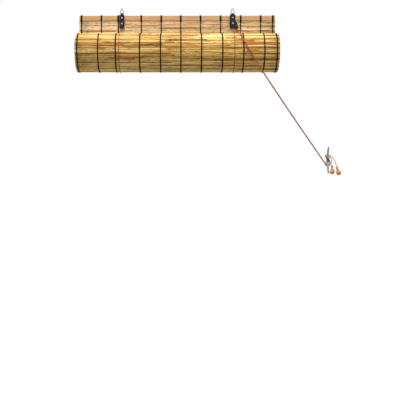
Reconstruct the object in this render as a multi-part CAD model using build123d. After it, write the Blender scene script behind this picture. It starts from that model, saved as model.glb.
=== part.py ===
from build123d import *
import math
import os

# Reed roll-up blind on a wall, drawn rolled up, with its pull cords wound on a wall cleat.
# Millimetres. +X is to the right, +Z up, and the room is on the -Y side.
# The origin is midway between the two hanging rings, at the height of the hooks that carry them.

# Head rail, a wooden lath
BLIND_WIDTH = 800.0
RAIL_TOP = -26.0
RAIL_HEIGHT = 22.6
RAIL_THICK = 12.0
RAIL_EDGE = 3.0
WALL_Y = 22.0

# Reed mat
REED_PITCH = 7.1
REED_HALF_THICK = 3.5
WEB_HALF_THICK = 1.2
DROP_REEDS = 20
ROLLED_REEDS = 200
CORE_RADIUS = 37.5
TURN_PITCH = 10.0

# Black warp threads, placed as shares of half the blind's width, and one just outside each housing
THREAD_PLACES = (-0.9775, -0.775, -0.3675, -0.16375, 0.035, 0.2375, 0.4425, 0.85125, 0.975)
LEFT_BINDING_GAP = 1.8
RIGHT_BINDING_GAP = 7.3
THREAD_WIDTH = 3.2
THREAD_THICK = 0.8
BINDING_WIDTH = 7.4
BINDING_THICK = 1.3
SOFT_GAP = 0.3
FIT_GAP = 0.1

# Pulley housings, stamped from sheet
BRACKET_X = 226.0
PLATE_THICK = 1.2
PLATE_WIDTH = 20.0
PLATE_HEIGHT = 53.7
PLATE_CORNER = 2.0
LOCK_PLATE_LEFT = 12.0
LOCK_PLATE_RIGHT = 10.5
LOCK_FLARE = 22.0
FLARE_TOP = 22.0
FLARE_FOOT = 6.7
RAIL_RIVET_DROP = 12.6
AXLE_DROP = 36.3
RIVET_RADIUS = 2.0
RIVET_CLEARANCE = 0.05
RIVET_HEAD_RADIUS = 3.4
RIVET_HEAD_HEIGHT = 1.8
SPACER_RADIUS = 3.6
WASHER_RADIUS = 6.5
WASHER_THICK = 1.0

# Sheaves
SHEAVE_RADIUS = 7.5
SHEAVE_WIDTH = 6.0
GROOVE_FLOOR = 4.4
GROOVE_WIDTH = 3.4
SIDE_GAP = 0.25

# Locking roller, free to slide in two slanting slots
ROLLER_RADIUS = 3.5
ROLLER_ROOT = 3.1
ROLLER_TEETH = 12
ROLLER_PIN = 1.5
SLOT_CLEARANCE = 0.1
ROLLER_INSET = 5.7
ROLLER_FOOT = 6.9
ROLLER_TRAVEL = 9.0
ROLLER_LEAN = 25.0

# Hanging rings and the rolled knuckles that hold them
WIRE_RADIUS = 1.2
KNUCKLE_RADIUS = 3.0
KNUCKLE_LENGTH = 10.0
KNUCKLE_DROP = 19.9
RING_HALF_WIDTH = 7.2
RING_SHOULDER = 5.9
RING_CROWN = 2.2
RING_CORNER = 2.0
RING_BEND = 4.0

# Cords
CORD_RADIUS = 1.25
SHEAVE_WRAP = 5.85
LOCK_WRAP = 5.05
LIFT_OFFSET = 2.2
SLING_GAP = 0.7
TIE_LENGTH = 13.0
TIE_OVERLAP = 0.8

# Cleat
CLEAT_X = 616.6
CLEAT_Z = -618.1
CLEAT_LENGTH = 109.8
CLEAT_WIDTH = 9.0
SADDLE_HALF = 12.0
SADDLE_DEPTH = 13.0
HORN_REACH = 31.0
HORN_SWELL = 6.6
HORN_INNER_BEND = 0.565
HORN_OUTER_BEND = 0.6
CLEAT_HOLE = 1.9
CLEAT_HOLE_SPACING = 13.0
COUNTERSINK = 3.5

# Wooden pulls
PULL_LENGTH = 35.4
PULL_RADIUS = 10.3
PULL_BORE = 1.6
PULL_RECESS = 4.2
PULL_RECESS_DEPTH = 6.0
BODY_RISE = 7.3
BODY_DROP = 7.9
COLLAR_RADIUS = 5.5
COLLAR_HEIGHT = 2.4
KNOT_RADIUS = 3.0

# Worked out from the sizes above
THREAD_XS = [BLIND_WIDTH / 2 * place for place in THREAD_PLACES]
THREAD_XS.append(-BRACKET_X - PLATE_WIDTH / 2 - LEFT_BINDING_GAP - BINDING_WIDTH / 2)
THREAD_XS.append(BRACKET_X + LOCK_FLARE + RIGHT_BINDING_GAP + BINDING_WIDTH / 2)
THREAD_XS.sort()
MAT_Y = (RAIL_THICK + PLATE_THICK) / 2
RAIL_BOTTOM = RAIL_TOP - RAIL_HEIGHT
RAIL_FRONT = MAT_Y - RAIL_THICK / 2
RAIL_BACK = MAT_Y + RAIL_THICK / 2
MAT_TOP = RAIL_BOTTOM - BINDING_THICK - 2 * FIT_GAP
DROP_BOTTOM = MAT_TOP - DROP_REEDS * REED_PITCH
ROLL_MIDDLE = math.sqrt(CORE_RADIUS**2 + TURN_PITCH * ROLLED_REEDS * REED_PITCH / math.pi)
ROLL_RADIUS = ROLL_MIDDLE + REED_HALF_THICK
ROLL_Y = MAT_Y - ROLL_MIDDLE
ROLL_Z = DROP_BOTTOM - SOFT_GAP
RIVET_Z = RAIL_TOP - RAIL_RIVET_DROP
AXLE_Z = RAIL_TOP - AXLE_DROP
SHEAVE_PITCH = SHEAVE_WIDTH + SIDE_GAP
PLATE_FRONT = -PLATE_THICK / 2
BACK_GROOVE = PLATE_FRONT - SIDE_GAP - SHEAVE_WIDTH / 2
FRONT_GROOVE = BACK_GROOVE - SHEAVE_PITCH
SINGLE_SPACE = SHEAVE_PITCH + SIDE_GAP
DOUBLE_SPACE = 2 * SHEAVE_PITCH + SIDE_GAP
KNUCKLE_Z = -KNUCKLE_DROP
SLING_Y = ROLL_Y + TURN_PITCH / 4
SLING_RADIUS = ROLL_RADIUS - TURN_PITCH / 4 + SLING_GAP + CORD_RADIUS
HOUSING_BOTTOM = RAIL_TOP - PLATE_HEIGHT
ROLLER_REST_X = BRACKET_X + LOCK_FLARE - ROLLER_INSET
ROLLER_REST_Z = HOUSING_BOTTOM + ROLLER_FOOT
TIE_Y = RAIL_BACK + FIT_GAP + CORD_RADIUS
TIE_RADIUS = RIVET_RADIUS + FIT_GAP + CORD_RADIUS
TIE_END = RIVET_Z - TIE_LENGTH
TAIL_Y = TIE_Y + CORD_RADIUS + FIT_GAP

# Cord routes, as hand-chosen points. The first and last point of each meets its neighbour.
LEFT_RUN_TOP = (-231.85, BACK_GROOVE, HOUSING_BOTTOM - 1.8)
RIGHT_RUN_TOP = (228.0, FRONT_GROOVE, HOUSING_BOTTOM - 1.8)
LAST_TURN_A = (230.05, BACK_GROOVE, -56.4)
LAST_TURN_B = (230.57, FRONT_GROOVE, -56.4)
EXIT_A = (239.4, BACK_GROOVE, HOUSING_BOTTOM - 1.3)
EXIT_B = (236.3, FRONT_GROOVE, HOUSING_BOTTOM - 1.3)
EXIT_RUN = 9.0
CROSSING = [
    (-231.85, -56.4), (-220.3, -56.4), (-215.2, -62.6), (-200, -64.6), (-172, -66.6),
    (-125, -67.9), (-70, -67.2), (-12, -65.6), (48, -64.9), (105, -65.4), (160, -64.3),
    (190, -62.6), (207, -61.4), (217.5, -60.2), (224.2, -56.4),
]
LOCK_TURN = [(220.1, -63.6), (220.1, -56.4)]
PULL_A = [
    (243.2, -12.5, -97.0), (248.6, -106.0, -118.0), (251.3, -138.0, -141.0),
    (271.4, -152.5, -183.0), (297.9, -151.5, -230.0), (417.9, -150.0, -412.0),
    (605.8, 12.0, -627.2), (612.8, 17.6, -634.3), (620.6, 17.6, -634.5), (626.2, 12.2, -628.8),
    (620.9, 6.2, -618.6), (612.3, 6.2, -609.6), (606.8, 12.0, -603.9), (612.6, 17.6, -601.5),
    (620.4, 17.6, -601.7), (626.6, 12.2, -605.8), (621.2, 2.4, -612.6), (612.2, 2.4, -620.6),
    (602.4, 9.0, -633.8), (612.4, 17.6, -641.4), (621.0, 17.6, -641.6), (629.4, 10.0, -633.8),
    (621.6, -0.6, -619.4), (611.6, -0.6, -607.6), (603.2, 9.0, -598.2), (612.2, 17.6, -594.4),
    (620.8, 17.6, -594.2), (629.4, 11.5, -597.4), (635.0, 6.5, -604.8), (640.8, 5.5, -613.5),
    (646.0, 6.0, -623.0), (650.1, 7.2, -633.6),
]
PULL_B = [
    (239.0, -18.5, -97.0), (245.2, -106.0, -118.0), (247.9, -138.0, -141.0),
    (268.0, -152.5, -183.0), (294.5, -151.5, -230.0), (414.5, -150.0, -412.0),
    (604.0, 10.8, -630.6), (612.8, 17.6, -637.8), (621.5, 17.6, -638.0), (629.6, 12.4, -630.2),
    (623.6, 6.8, -616.2), (612.6, 5.0, -604.6), (605.4, 10.6, -600.8), (612.8, 17.6, -598.0),
    (620.8, 17.6, -598.0), (628.6, 14.0, -602.6), (632.0, 11.6, -612.0), (633.1, 9.4, -624.0),
]
PULL_TOP_A = (653.0, 8.0, -644.5)
PULL_LEAN_A = 18.0
PULL_TOP_B = (633.4, 8.4, -639.2)
PULL_LEAN_B = 3.0

# The corner where each pull cord swings past the blind's end towards the cleat
SWING_CORNER = 7
SWING_RADIUS = 100.0


def front_plane(y):
    """A sketch plane facing the room, with X to the right and Z up."""
    return Plane(origin=(0, y, 0), x_dir=(1, 0, 0), z_dir=(0, -1, 0))


def side_plane(x):
    """A sketch plane facing right, with Y across and Z up."""
    return Plane(origin=(x, 0, 0), x_dir=(0, 1, 0), z_dir=(1, 0, 0))


def rod_y(x, z, radius, y_back, y_front):
    """A round bar along Y, from y_back towards the room."""
    return extrude(front_plane(y_back) * Pos(x, z) * Circle(radius), y_back - y_front)


# Head rail and its bindings


def rail_section(grow, edge):
    return RectangleRounded(RAIL_THICK + 2 * grow, RAIL_HEIGHT + 2 * grow, edge)


def make_head_rail():
    middle = Pos(MAT_Y, (RAIL_TOP + RAIL_BOTTOM) / 2)
    rail = extrude(side_plane(-BLIND_WIDTH / 2) * middle * rail_section(0, RAIL_EDGE), BLIND_WIDTH)
    for x in (-BRACKET_X, BRACKET_X):
        rail -= rod_y(x, RIVET_Z, RIVET_RADIUS + RIVET_CLEARANCE, RAIL_BACK + 1, RAIL_FRONT - 1)
    return rail


def make_rail_bindings():
    """Turns of thread packed into a flat band that hugs the lath, with a cut corner at each edge."""
    middle = Pos(MAT_Y, (RAIL_TOP + RAIL_BOTTOM) / 2)
    inner = chamfer_frame(FIT_GAP)
    outer = chamfer_frame(FIT_GAP + BINDING_THICK)
    band = extrude(side_plane(0) * middle * (outer - inner), BINDING_WIDTH)
    return [Pos(x - BINDING_WIDTH / 2, 0, 0) * band for x in THREAD_XS]


def chamfer_frame(grow):
    section = Rectangle(RAIL_THICK + 2 * grow, RAIL_HEIGHT + 2 * grow)
    return chamfer(section.vertices(), RAIL_EDGE * (2 - math.sqrt(2)) + grow / 2)


# Reed mat


def make_mat_drop():
    """The hanging part of the mat, a wall with a rounded ridge for each reed on both faces."""
    edges = []
    for side in (1, -1):
        valley = MAT_Y + side * WEB_HALF_THICK
        crest = MAT_Y + side * REED_HALF_THICK
        for i in range(DROP_REEDS):
            top = MAT_TOP - i * REED_PITCH
            low = top - REED_PITCH
            edges.append(ThreePointArc((valley, top), (crest, (top + low) / 2), (valley, low)))
    for z in (MAT_TOP, DROP_BOTTOM):
        edges.append(Line((MAT_Y - WEB_HALF_THICK, z), (MAT_Y + WEB_HALF_THICK, z)))
    wall = make_face(Sketch() + Curve() + edges)
    return extrude(side_plane(-BLIND_WIDTH / 2) * wall, BLIND_WIDTH)


def wound(length):
    """Angle and middle radius of the spiral after a length of mat, from its outer end."""
    inner = math.sqrt(ROLL_MIDDLE**2 - TURN_PITCH * length / math.pi)
    return (ROLL_MIDDLE - inner) * 2 * math.pi / TURN_PITCH, inner


def on_roll(angle, radius):
    """A point round the roll's axis, from its back, down and under towards the room."""
    return (ROLL_Y + radius * math.cos(angle), ROLL_Z - radius * math.sin(angle))


def make_mat_roll():
    """The rolled mat: a spiral wall with a low ridge for each reed on both faces."""
    outside = ((0, WEB_HALF_THICK), (0.25, 3.0), (0.5, REED_HALF_THICK), (0.75, 3.0))
    inside = ((0, WEB_HALF_THICK), (0.5, REED_HALF_THICK))
    front, back = [], []
    for i in range(ROLLED_REEDS):
        for share, height in outside:
            angle, middle = wound((i + share) * REED_PITCH)
            front.append(on_roll(angle, middle + height))
        for share, height in inside:
            angle, middle = wound((i + share) * REED_PITCH)
            back.append(on_roll(angle, middle - height))
    angle, middle = wound(ROLLED_REEDS * REED_PITCH)
    front.append(on_roll(angle, middle + WEB_HALF_THICK))
    back.append(on_roll(angle, middle - WEB_HALF_THICK))
    outline = Polyline(*front, *reversed(back), close=True)
    return extrude(side_plane(-BLIND_WIDTH / 2) * make_face(outline), BLIND_WIDTH)


def make_drop_threads():
    """Each warp thread runs down the front and the back of the hanging mat."""
    threads = []
    for x in THREAD_XS:
        for side in (1, -1):
            y = MAT_Y + side * (REED_HALF_THICK + SOFT_GAP + THREAD_THICK / 2)
            height = MAT_TOP - DROP_BOTTOM - FIT_GAP
            z = DROP_BOTTOM + height / 2
            threads.append(Pos(x, y, z) * Box(THREAD_WIDTH, THREAD_THICK, height))
    return threads


def make_roll_threads():
    """Each warp thread shows as a thin band round the outermost turn."""
    start, finish, arcs = 4.0, 330.0, 4
    sides = []
    for lift in (SOFT_GAP, SOFT_GAP + THREAD_THICK):
        points = []
        for k in range(2 * arcs + 1):
            angle = math.radians(start + (finish - start) * k / (2 * arcs))
            middle = ROLL_RADIUS - TURN_PITCH * angle / (2 * math.pi)
            points.append(on_roll(angle, middle + lift))
        arcs_here = [ThreePointArc(*points[2 * k : 2 * k + 3]) for k in range(arcs)]
        sides.append((points, arcs_here))
    ends = [Line(sides[0][0][end], sides[1][0][end]) for end in (0, -1)]
    outline = make_face(Sketch() + Curve() + sides[0][1] + sides[1][1] + ends)
    band = extrude(side_plane(0) * outline, THREAD_WIDTH)
    return [Pos(x - THREAD_WIDTH / 2, 0, 0) * band for x in THREAD_XS]


# Pulley housings


def single_outline():
    x, z = -BRACKET_X, RAIL_TOP - PLATE_HEIGHT / 2
    return Pos(x, z) * RectangleRounded(PLATE_WIDTH, PLATE_HEIGHT, PLATE_CORNER)


def lock_outline():
    """The lock's cheek flares out to the right below the rail, over the locking roller."""
    left, right = BRACKET_X - LOCK_PLATE_LEFT, BRACKET_X + LOCK_PLATE_RIGHT
    flare = BRACKET_X + LOCK_FLARE
    outline = Polyline(
        (left, RAIL_TOP), (right, RAIL_TOP), (right, RAIL_TOP - FLARE_TOP),
        (flare, HOUSING_BOTTOM + FLARE_FOOT), (flare, HOUSING_BOTTOM), (left, HOUSING_BOTTOM),
        close=True,
    )
    face = make_face(outline)
    return fillet(face.vertices(), PLATE_CORNER)


def slot_centre():
    """Middle of the slot, and the direction in which the roller climbs."""
    lean = math.radians(ROLLER_LEAN)
    x = ROLLER_REST_X - math.sin(lean) * ROLLER_TRAVEL / 2
    z = ROLLER_REST_Z + math.cos(lean) * ROLLER_TRAVEL / 2
    return x, z


def make_plate(outline, bracket_x, y_back, slotted):
    plate = extrude(front_plane(y_back) * outline, PLATE_THICK)
    y_front = y_back - PLATE_THICK
    for z in (RIVET_Z, AXLE_Z):
        plate -= rod_y(bracket_x, z, RIVET_RADIUS + RIVET_CLEARANCE, y_back + 1, y_front - 1)
    if slotted:
        x, z = slot_centre()
        width = 2 * (ROLLER_PIN + SLOT_CLEARANCE)
        slot = Rot(0, 0, 90 + ROLLER_LEAN) * SlotOverall(ROLLER_TRAVEL + width, width)
        plate -= extrude(front_plane(y_back + 1) * Pos(x, z) * slot, PLATE_THICK + 2)
    return plate


def make_back_plate(outline, bracket_x, slotted):
    """The wall-side cheek rises over the rail and is rolled into a knuckle for the ring."""
    plate = make_plate(outline, bracket_x, PLATE_THICK / 2, slotted)
    ear_height = KNUCKLE_Z - RAIL_TOP + PLATE_CORNER
    ear = Box(KNUCKLE_LENGTH, PLATE_THICK, ear_height)
    plate += Pos(bracket_x, 0, KNUCKLE_Z - ear_height / 2) * ear
    start = side_plane(bracket_x - KNUCKLE_LENGTH / 2) * Pos(0, KNUCKLE_Z)
    plate += extrude(start * Circle(KNUCKLE_RADIUS), KNUCKLE_LENGTH)
    plate -= extrude(start * Circle(WIRE_RADIUS + FIT_GAP), KNUCKLE_LENGTH)
    return plate


def make_rivet(x, z, y_back, y_front):
    """A shank with a low dome closed over each end."""
    length = y_back - y_front
    ball = (RIVET_HEAD_RADIUS**2 + RIVET_HEAD_HEIGHT**2) / (2 * RIVET_HEAD_HEIGHT)
    half = math.asin(RIVET_HEAD_RADIUS / ball) / 2
    shoulder = (ball * math.sin(half), RIVET_HEAD_HEIGHT - ball * (1 - math.cos(half)))
    profile = make_face(
        [
            ThreePointArc((0, -RIVET_HEAD_HEIGHT), (shoulder[0], -shoulder[1]), (RIVET_HEAD_RADIUS, 0)),
            Line((RIVET_HEAD_RADIUS, 0), (RIVET_RADIUS, 0)),
            Line((RIVET_RADIUS, 0), (RIVET_RADIUS, length)),
            Line((RIVET_RADIUS, length), (RIVET_HEAD_RADIUS, length)),
            ThreePointArc(
                (RIVET_HEAD_RADIUS, length),
                (shoulder[0], length + shoulder[1]),
                (0, length + RIVET_HEAD_HEIGHT),
            ),
            Line((0, length + RIVET_HEAD_HEIGHT), (0, -RIVET_HEAD_HEIGHT)),
        ]
    )
    seat = Plane(origin=(x, y_back, z), x_dir=(1, 0, 0), z_dir=(0, 0, -1))
    return revolve(seat * profile, Axis((x, y_back, z), (0, 1, 0)))


def make_spacer(x, space):
    outer = rod_y(x, RIVET_Z, SPACER_RADIUS, PLATE_FRONT, PLATE_FRONT - space)
    bore = RIVET_RADIUS + RIVET_CLEARANCE
    return outer - rod_y(x, RIVET_Z, bore, PLATE_FRONT, PLATE_FRONT - space)


def make_washers():
    washers = []
    for x in (-BRACKET_X, BRACKET_X):
        disc = rod_y(x, RIVET_Z, WASHER_RADIUS, TAIL_Y + WASHER_THICK, TAIL_Y)
        bore = RIVET_RADIUS + RIVET_CLEARANCE
        washers.append(disc - rod_y(x, RIVET_Z, bore, TAIL_Y + WASHER_THICK, TAIL_Y))
    return washers


def make_sheave(x, y_middle):
    """A grooved wheel that turns on the lower rivet."""
    half = SHEAVE_WIDTH / 2
    groove = GROOVE_WIDTH / 2
    bore = RIVET_RADIUS + RIVET_CLEARANCE
    lip = SHEAVE_RADIUS - 0.5
    profile = make_face(
        Polyline(
            (bore, -half), (lip, -half), (SHEAVE_RADIUS, -half + 0.5), (SHEAVE_RADIUS, -groove),
            (GROOVE_FLOOR, -groove + 0.3), (GROOVE_FLOOR, groove - 0.3), (SHEAVE_RADIUS, groove),
            (SHEAVE_RADIUS, half - 0.5), (lip, half), (bore, half), close=True,
        )
    )
    seat = Plane(origin=(x, y_middle, AXLE_Z), x_dir=(1, 0, 0), z_dir=(0, 0, 1))
    return revolve(seat * profile, Axis((x, y_middle, AXLE_Z), (0, 1, 0)))


def make_lock_roller():
    """A toothed roller with a plain pin at each end, standing in the slots of both cheeks."""
    points = []
    for i in range(2 * ROLLER_TEETH):
        radius = ROLLER_RADIUS if i % 2 == 0 else ROLLER_ROOT
        angle = math.pi * i / ROLLER_TEETH
        points.append((radius * math.cos(angle), radius * math.sin(angle)))
    y_back = PLATE_FRONT - SIDE_GAP
    body = front_plane(y_back) * Pos(ROLLER_REST_X, ROLLER_REST_Z) * Polyline(*points, close=True)
    roller = extrude(make_face(body), DOUBLE_SPACE - 2 * SIDE_GAP)
    pin_back = PLATE_THICK / 2 + 0.5
    pin_front = PLATE_FRONT - DOUBLE_SPACE - PLATE_THICK - 0.8
    return roller + rod_y(ROLLER_REST_X, ROLLER_REST_Z, ROLLER_PIN, pin_back, pin_front)


def make_hanging_ring(x):
    """A pear-shaped wire ring: its foot lies in the knuckle and its narrow end goes over a hook."""
    shoulder = KNUCKLE_Z + RING_SHOULDER
    crown_middle = WIRE_RADIUS - RING_CROWN
    rise = crown_middle - shoulder
    lean = math.atan2(RING_HALF_WIDTH, rise)
    lean -= math.asin(RING_CROWN / math.hypot(RING_HALF_WIDTH, rise))
    peak = shoulder + RING_HALF_WIDTH / math.tan(lean)
    foot = RING_HALF_WIDTH - 0.4
    corners = [
        (x + foot, 0, KNUCKLE_Z), (x + RING_HALF_WIDTH, 0, shoulder), (x, 0, peak),
        (x - RING_HALF_WIDTH, 0, shoulder), (x - foot, 0, KNUCKLE_Z),
    ]
    radii = [RING_CORNER, RING_BEND, RING_CROWN, RING_BEND, RING_CORNER]
    path = FilletPolyline(*corners, radius=radii, close=True)
    return sweep(Plane(origin=path @ 0, z_dir=path % 0) * Circle(WIRE_RADIUS), path=path)


# Cords


def corner_radii(points, tight=()):
    """An arc for each corner, as large as its two runs allow, or as named in tight."""
    radii = []
    for i in range(1, len(points) - 1):
        before = Vector(*points[i]) - Vector(*points[i - 1])
        after = Vector(*points[i + 1]) - Vector(*points[i])
        half_turn = math.radians(before.get_angle(after) / 2)
        radius = 0.45 * min(before.length, after.length) / math.tan(half_turn)
        radii.append(dict(tight).get(i, radius))
    return radii


def cord_tube(name, points, tight=()):
    """A round cord along straight runs and tangent arcs."""
    radii = corner_radii(points, tight)
    path = FilletPolyline(*points, radius=radii)
    start = Plane(origin=points[0], z_dir=Vector(*points[1]) - Vector(*points[0]))
    tube = sweep(start * Circle(CORD_RADIUS), path=path)
    ideal = math.pi * CORD_RADIUS**2 * path.length
    print(name, "radii", [round(r, 1) for r in radii], "length", round(path.length, 1),
          "volume share", round(tube.volume / ideal, 4))
    return tube


def tangent_point(top):
    """Where a straight cord from the housing meets the sling round the roll's front."""
    dy, dz = top[1] - SLING_Y, top[2] - ROLL_Z
    angle = math.atan2(dz, dy) + math.acos(SLING_RADIUS / math.hypot(dy, dz))
    y = SLING_Y + SLING_RADIUS * math.cos(angle)
    z = ROLL_Z + SLING_RADIUS * math.sin(angle)
    return y, z, angle


def lift_x(side):
    """The plane in which each lifting cord passes round the roll."""
    return side * BRACKET_X - LIFT_OFFSET


def run_point(side, share):
    """A point on the straight front run, as a share of the way from housing to roll."""
    top = LEFT_RUN_TOP if side < 0 else RIGHT_RUN_TOP
    y, z, _ = tangent_point(top)
    bottom = (lift_x(side), y, z)
    return tuple(a + (b - a) * share for a, b in zip(top, bottom))


RUN_START = 0.12
RUN_END = 0.998


def make_front_run(side):
    start, finish = run_point(side, RUN_START), run_point(side, RUN_END)
    direction = Vector(*finish) - Vector(*start)
    seat = Plane(origin=start, z_dir=direction)
    return extrude(seat * Circle(CORD_RADIUS), direction.length)


def make_sling(side):
    """The lifting cord passes under the roll, from the mat's back round to the roll's front."""
    top = LEFT_RUN_TOP if side < 0 else RIGHT_RUN_TOP
    _, _, angle = tangent_point(top)
    start = (lift_x(side), SLING_Y + SLING_RADIUS, ROLL_Z)
    section = Plane(origin=start, z_dir=(0, 0, 1)) * Circle(CORD_RADIUS)
    axis = Axis((lift_x(side), SLING_Y, ROLL_Z), (-1, 0, 0))
    return revolve(section, axis, 360 - math.degrees(angle))


def make_rear_run(side):
    """The lifting cord hangs behind the mat, from its tie on the rail."""
    start = (lift_x(side), SLING_Y + SLING_RADIUS, ROLL_Z + FIT_GAP)
    finish = (lift_x(side), TIE_Y, TIE_END - FIT_GAP / 2)
    direction = Vector(*finish) - Vector(*start)
    return extrude(Plane(origin=start, z_dir=direction) * Circle(CORD_RADIUS), direction.length)


def make_cord_ties():
    """Each lifting cord is tied in a loop round the tail of the rivet behind the rail."""
    ties = []
    for side in (-1, 1):
        x = side * BRACKET_X
        seat = Plane(origin=(x + TIE_RADIUS, TIE_Y, RIVET_Z), z_dir=(0, 0, 1))
        loop = revolve(seat * Circle(CORD_RADIUS), Axis((x, TIE_Y, RIVET_Z), (0, 1, 0)))
        tail_top = RIVET_Z - TIE_RADIUS + TIE_OVERLAP
        tail = Plane(origin=(lift_x(side), TIE_Y, tail_top), z_dir=(0, 0, -1))
        ties.append(loop + extrude(tail * Circle(CORD_RADIUS), tail_top - TIE_END))
    return ties


def make_crossing_cord():
    """The left lifting cord turns over its sheave, hangs across the blind and leaves the lock."""
    start = run_point(-1, RUN_START)
    points = [start, LEFT_RUN_TOP]
    points += [(x, BACK_GROOVE, z) for x, z in CROSSING]
    points += [LAST_TURN_A, EXIT_A]
    tight = {2: SHEAVE_WRAP, 3: SHEAVE_WRAP, 16: SHEAVE_WRAP, 17: SHEAVE_WRAP}
    return cord_tube("crossing_cord", points, tight)


def make_lock_cord():
    """The right lifting cord turns over the front sheave and leaves the lock."""
    points = [run_point(1, RUN_START), RIGHT_RUN_TOP]
    points += [(x, FRONT_GROOVE, z) for x, z in LOCK_TURN]
    points += [LAST_TURN_B, EXIT_B]
    tight = {2: LOCK_WRAP, 3: SHEAVE_WRAP, 4: SHEAVE_WRAP}
    return cord_tube("lock_cord", points, tight)


def pull_direction(lean):
    return Vector(math.sin(math.radians(lean)), 0, -math.cos(math.radians(lean)))


def make_pull_cord(name, turn, exit_point, route, top, lean):
    """A pull cord runs from the lock to the cleat, and ends above the knot in its wooden pull."""
    last = Vector(*top) + pull_direction(lean) * (PULL_LENGTH - PULL_RECESS_DEPTH - 0.7)
    outwards = (Vector(*exit_point) - Vector(*turn)).normalized()
    first = Vector(*exit_point) + outwards * EXIT_RUN
    points = [exit_point, tuple(first)] + route + [top, tuple(last)]
    return cord_tube(name, points, {SWING_CORNER: SWING_RADIUS})


# Cleat and pulls


def make_cleat():
    """A saddle with two horns that sweep away from the wall, rounded at their tips."""
    def at(out, along):
        return (WALL_Y - out, CLEAT_Z + along)

    half = CLEAT_LENGTH / 2
    throat = SADDLE_DEPTH * 0.46
    edges = [Line(at(0, -SADDLE_HALF), at(0, SADDLE_HALF))]
    for side in (1, -1):
        edges += [
            Line(at(0, side * SADDLE_HALF), at(throat, side * SADDLE_HALF)),
            ThreePointArc(at(throat, side * SADDLE_HALF), at(throat + HORN_SWELL, side * half * HORN_INNER_BEND),
                          at(HORN_REACH - 5.6, side * (half - 2.2))),
            ThreePointArc(at(HORN_REACH - 5.6, side * (half - 2.2)),
                          at(HORN_REACH - 2.4, side * half),
                          at(HORN_REACH, side * (half - 2.4))),
            ThreePointArc(at(HORN_REACH, side * (half - 2.4)),
                          at(SADDLE_DEPTH + 5.6, side * half * HORN_OUTER_BEND),
                          at(SADDLE_DEPTH, side * SADDLE_HALF)),
        ]
    edges.append(Line(at(SADDLE_DEPTH, SADDLE_HALF), at(SADDLE_DEPTH, -SADDLE_HALF)))
    side_view = side_plane(CLEAT_X - CLEAT_WIDTH / 2) * make_face(edges)
    body = extrude(side_view, CLEAT_WIDTH)
    tip = CLEAT_WIDTH * 0.32
    taper = make_face(
        [
            ThreePointArc((-tip, half - tip), (-CLEAT_WIDTH / 2, 0), (-tip, tip - half)),
            ThreePointArc((-tip, tip - half), (0, -half), (tip, tip - half)),
            ThreePointArc((tip, tip - half), (CLEAT_WIDTH / 2, 0), (tip, half - tip)),
            ThreePointArc((tip, half - tip), (0, half), (-tip, half - tip)),
        ]
    )
    outline = front_plane(WALL_Y + 1) * Pos(CLEAT_X, CLEAT_Z) * taper
    body = body & extrude(outline, HORN_REACH + 2)
    for side in (1, -1):
        z = CLEAT_Z + side * CLEAT_HOLE_SPACING / 2
        face = WALL_Y - SADDLE_DEPTH
        body -= rod_y(CLEAT_X, z, CLEAT_HOLE, WALL_Y + 1, face - 1)
        mouth = Plane(origin=(CLEAT_X, face, z), x_dir=(1, 0, 0), z_dir=(0, 1, 0))
        body -= mouth * Pos(0, 0, 0.8) * Cone(COUNTERSINK, CLEAT_HOLE, 1.6)
    return body


def make_pull(top, lean):
    """A turned wooden pull: a collar, a slim neck and a ball-shaped body, bored for the cord."""
    roof = PULL_LENGTH - PULL_RECESS_DEPTH
    belly = PULL_RADIUS - PULL_LENGTH
    hip = (math.sqrt(PULL_RADIUS**2 - BODY_DROP**2), belly - BODY_DROP)
    waist = (math.sqrt(PULL_RADIUS**2 - BODY_RISE**2), belly + BODY_RISE)
    neck = (COLLAR_RADIUS - 1.2, -COLLAR_HEIGHT - 1.2)
    profile = make_face(
        [
            Line((PULL_BORE, 0), (COLLAR_RADIUS - 0.8, 0)),
            Line((COLLAR_RADIUS - 0.8, 0), (COLLAR_RADIUS, -0.8)),
            Line((COLLAR_RADIUS, -0.8), (COLLAR_RADIUS, -COLLAR_HEIGHT)),
            Line((COLLAR_RADIUS, -COLLAR_HEIGHT), neck),
            ThreePointArc(neck, (neck[0] + 0.6, -PULL_LENGTH * 0.28), waist),
            ThreePointArc(waist, (PULL_RADIUS, belly), hip),
            Line(hip, (PULL_RECESS, -PULL_LENGTH)),
            Line((PULL_RECESS, -PULL_LENGTH), (PULL_RECESS, -roof)),
            Line((PULL_RECESS, -roof), (PULL_BORE, -roof)),
            Line((PULL_BORE, -roof), (PULL_BORE, 0)),
        ]
    )
    pull = revolve(Plane.XZ * profile, Axis.Z)
    return Pos(*top) * Rot(0, -lean, 0) * pull


def make_pull_knots():
    """The knot that holds each pull lies in the recess under it."""
    seat = math.sqrt(KNOT_RADIUS**2 - PULL_BORE**2)
    depth = PULL_LENGTH - PULL_RECESS_DEPTH + seat + FIT_GAP
    knots = []
    for top, lean in ((PULL_TOP_A, PULL_LEAN_A), (PULL_TOP_B, PULL_LEAN_B)):
        middle = Vector(*top) + pull_direction(lean) * depth
        knots.append(Pos(*middle) * Sphere(KNOT_RADIUS))
    return knots


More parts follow.
